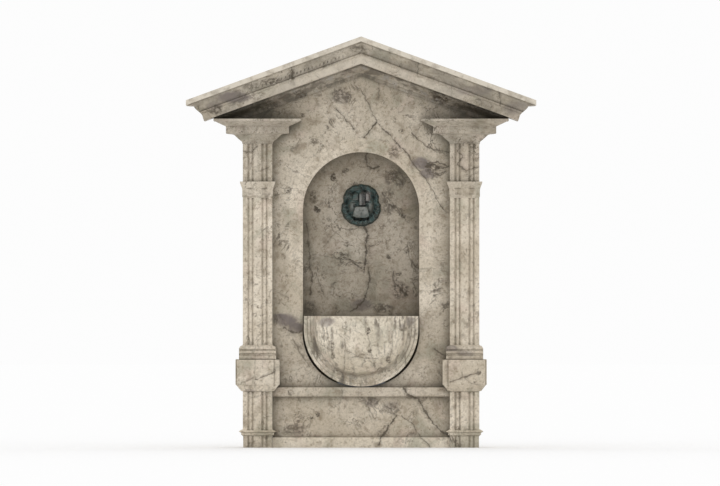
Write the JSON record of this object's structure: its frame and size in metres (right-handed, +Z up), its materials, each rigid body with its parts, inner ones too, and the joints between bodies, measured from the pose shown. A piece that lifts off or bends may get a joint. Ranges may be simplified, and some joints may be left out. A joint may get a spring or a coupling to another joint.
{
  "type": "wall font",
  "caption": "Marble aedicule wall font: gabled cornice on fluted piers, round-headed niche, half-round bowl, bronze lion-mask spout, standing waste and rear stop valve.",
  "frame": {"origin": "middle of the footprint's bounding box, on the floor", "axes": "+Z up, the front faces -Y, +X to the viewer's right"},
  "size_m": [1.92, 0.64, 2.257],
  "materials": {
    "marble": "honed, veined, weathered",
    "border_marble": "honed, veined",
    "sawn_marble": "sawn, unpolished",
    "bronze": "dark green-black patina, worn highlights",
    "lead": "dull sheet",
    "brass": "satin",
    "copper": "dull tube",
    "steel": "brushed",
    "chrome": "bright",
    "rubber": "matte",
    "plastic": "satin white"
  },
  "bodies": {
    "surround": {"left_pier_foot": "marble", "right_pier_foot": "marble", "left_lower_shaft": "marble", "right_lower_shaft": "marble", "left_pedestal_block": "marble", "right_pedestal_block": "marble", "left_pier_base": "marble", "right_pier_base": "marble", "left_main_shaft": "marble", "right_main_shaft": "marble", "left_necking_band": "marble", "right_necking_band": "marble", "left_upper_shaft": "marble", "right_upper_shaft": "marble", "left_capital": "marble", "right_capital": "marble", "left_impost_cornice": "marble", "right_impost_cornice": "marble", "left_gable_shoulder": "marble", "right_gable_shoulder": "marble", "left_bed_mould": "marble", "right_bed_mould": "marble", "left_raking_cornice": "marble", "apex_stone": "marble", "right_raking_cornice": "marble", "right_eave_stone": "marble", "base_course": "marble", "dado_panel": "marble", "ledge": "marble", "wall_slab": "marble", "niche_arch": "border_marble", "left_niche_jamb": "border_marble", "right_niche_jamb": "border_marble", "niche_back": "marble", "lower_rear_slab": "sawn_marble", "middle_rear_slab": "sawn_marble", "upper_rear_slab": "sawn_marble", "bowl": "marble", "bowl_bearers": "sawn_marble", "bowl_bedding": "lead", "lion_mask": "bronze", "mask_studs": "steel", "spout_tube": "brass", "spout_backnut": "brass", "riser_pipe": "copper", "stop_valve_body": "brass", "stop_valve_gland": "brass", "inlet_elbow": "brass", "waste_body": "chrome", "waste_washers": "rubber", "waste_backnut": "brass", "trap_nut": "plastic", "trap_bottle": "plastic", "waste_outlet_pipe": "plastic", "pier_dowels": "steel", "cavity_ties": "steel"},
    "standing_waste": {"standing_waste": "chrome"},
    "valve_lever": {"stop_valve_lever": "steel"}
  },
  "joints": [
    {"name": "waste_lift", "type": "slide", "parent": "surround", "child": "standing_waste", "axis": [0, 0, 1], "range_m": [0, 0.33]},
    {"name": "lever_turn", "type": "hinge", "parent": "surround", "child": "valve_lever", "pos_m": [0, 0.27, 0.555], "axis": [0, 1, 0], "range_deg": [0, 90]}
  ]
}
